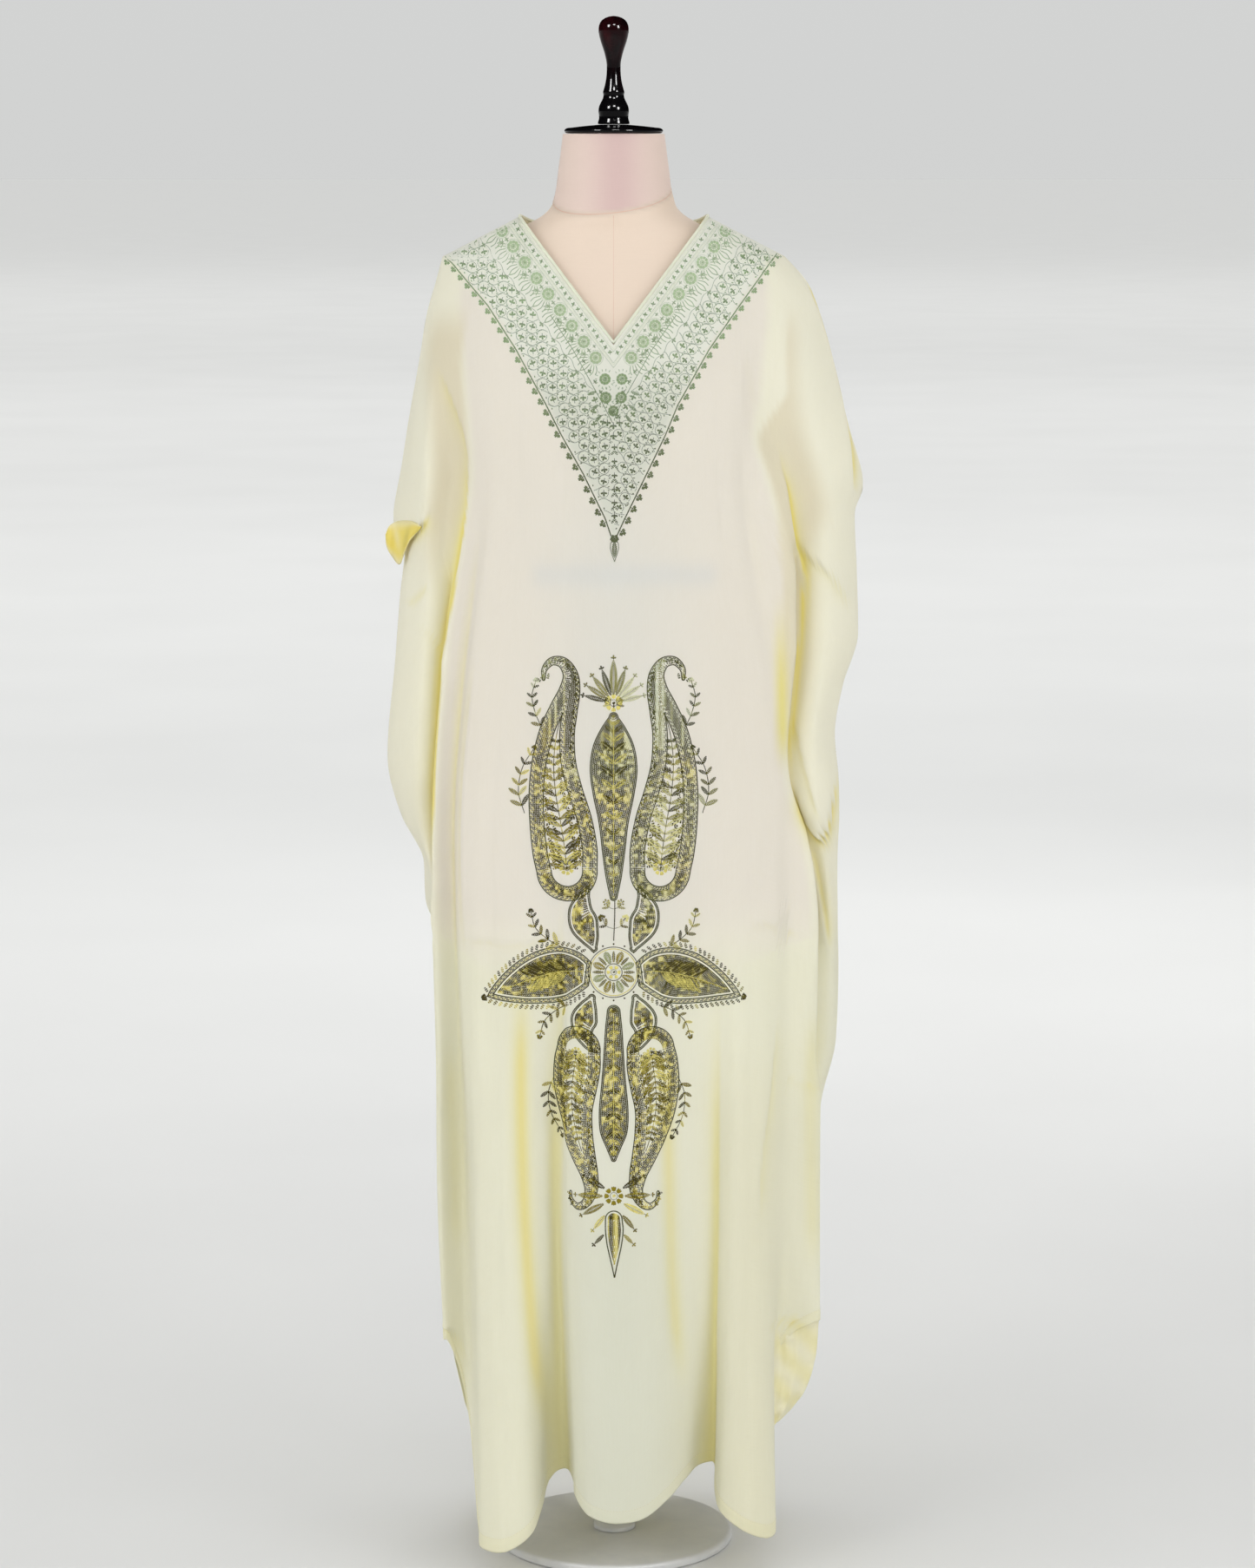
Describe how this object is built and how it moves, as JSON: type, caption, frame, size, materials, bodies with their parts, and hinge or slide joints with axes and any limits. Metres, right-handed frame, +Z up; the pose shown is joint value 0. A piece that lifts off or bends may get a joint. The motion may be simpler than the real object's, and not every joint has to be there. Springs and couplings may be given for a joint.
{
  "type": "kaftan on a limbless dress form",
  "caption": "Ankle-length loose kaftan with a V neck, wide cut-in-one sleeves and soft hem folds, worn on a limbless dress form with a turned knob, on a pole and round base.",
  "frame": {"origin": "on the floor, centre of the stand base's underside, straight below the dress form's axis", "axes": "+Z up along the stand, -Y towards the viewer of the kaftan's front, +X to that viewer's right"},
  "size_m": [0.4861, 0.3178, 1.5925],
  "materials": {
    "cloth": "pale yellow cream plain weave, soft and matt",
    "piping": "cream bias piping, matt",
    "embroidery": "sage and olive silk thread, low sheen",
    "form_cover": "tight pale peach cotton cover",
    "lacquer": "black lacquered turned wood, gloss",
    "stand_paint": "pale grey powder coat, satin"
  },
  "bodies": {
    "root": {"front_panel": "cloth", "back_panel": "cloth", "neck_piping": "piping", "form_body": "form_cover", "form_neck_cap": "lacquer", "form_knob": "lacquer", "stand_pole": "stand_paint", "stand_base": "stand_paint"}
  },
  "joints": []
}
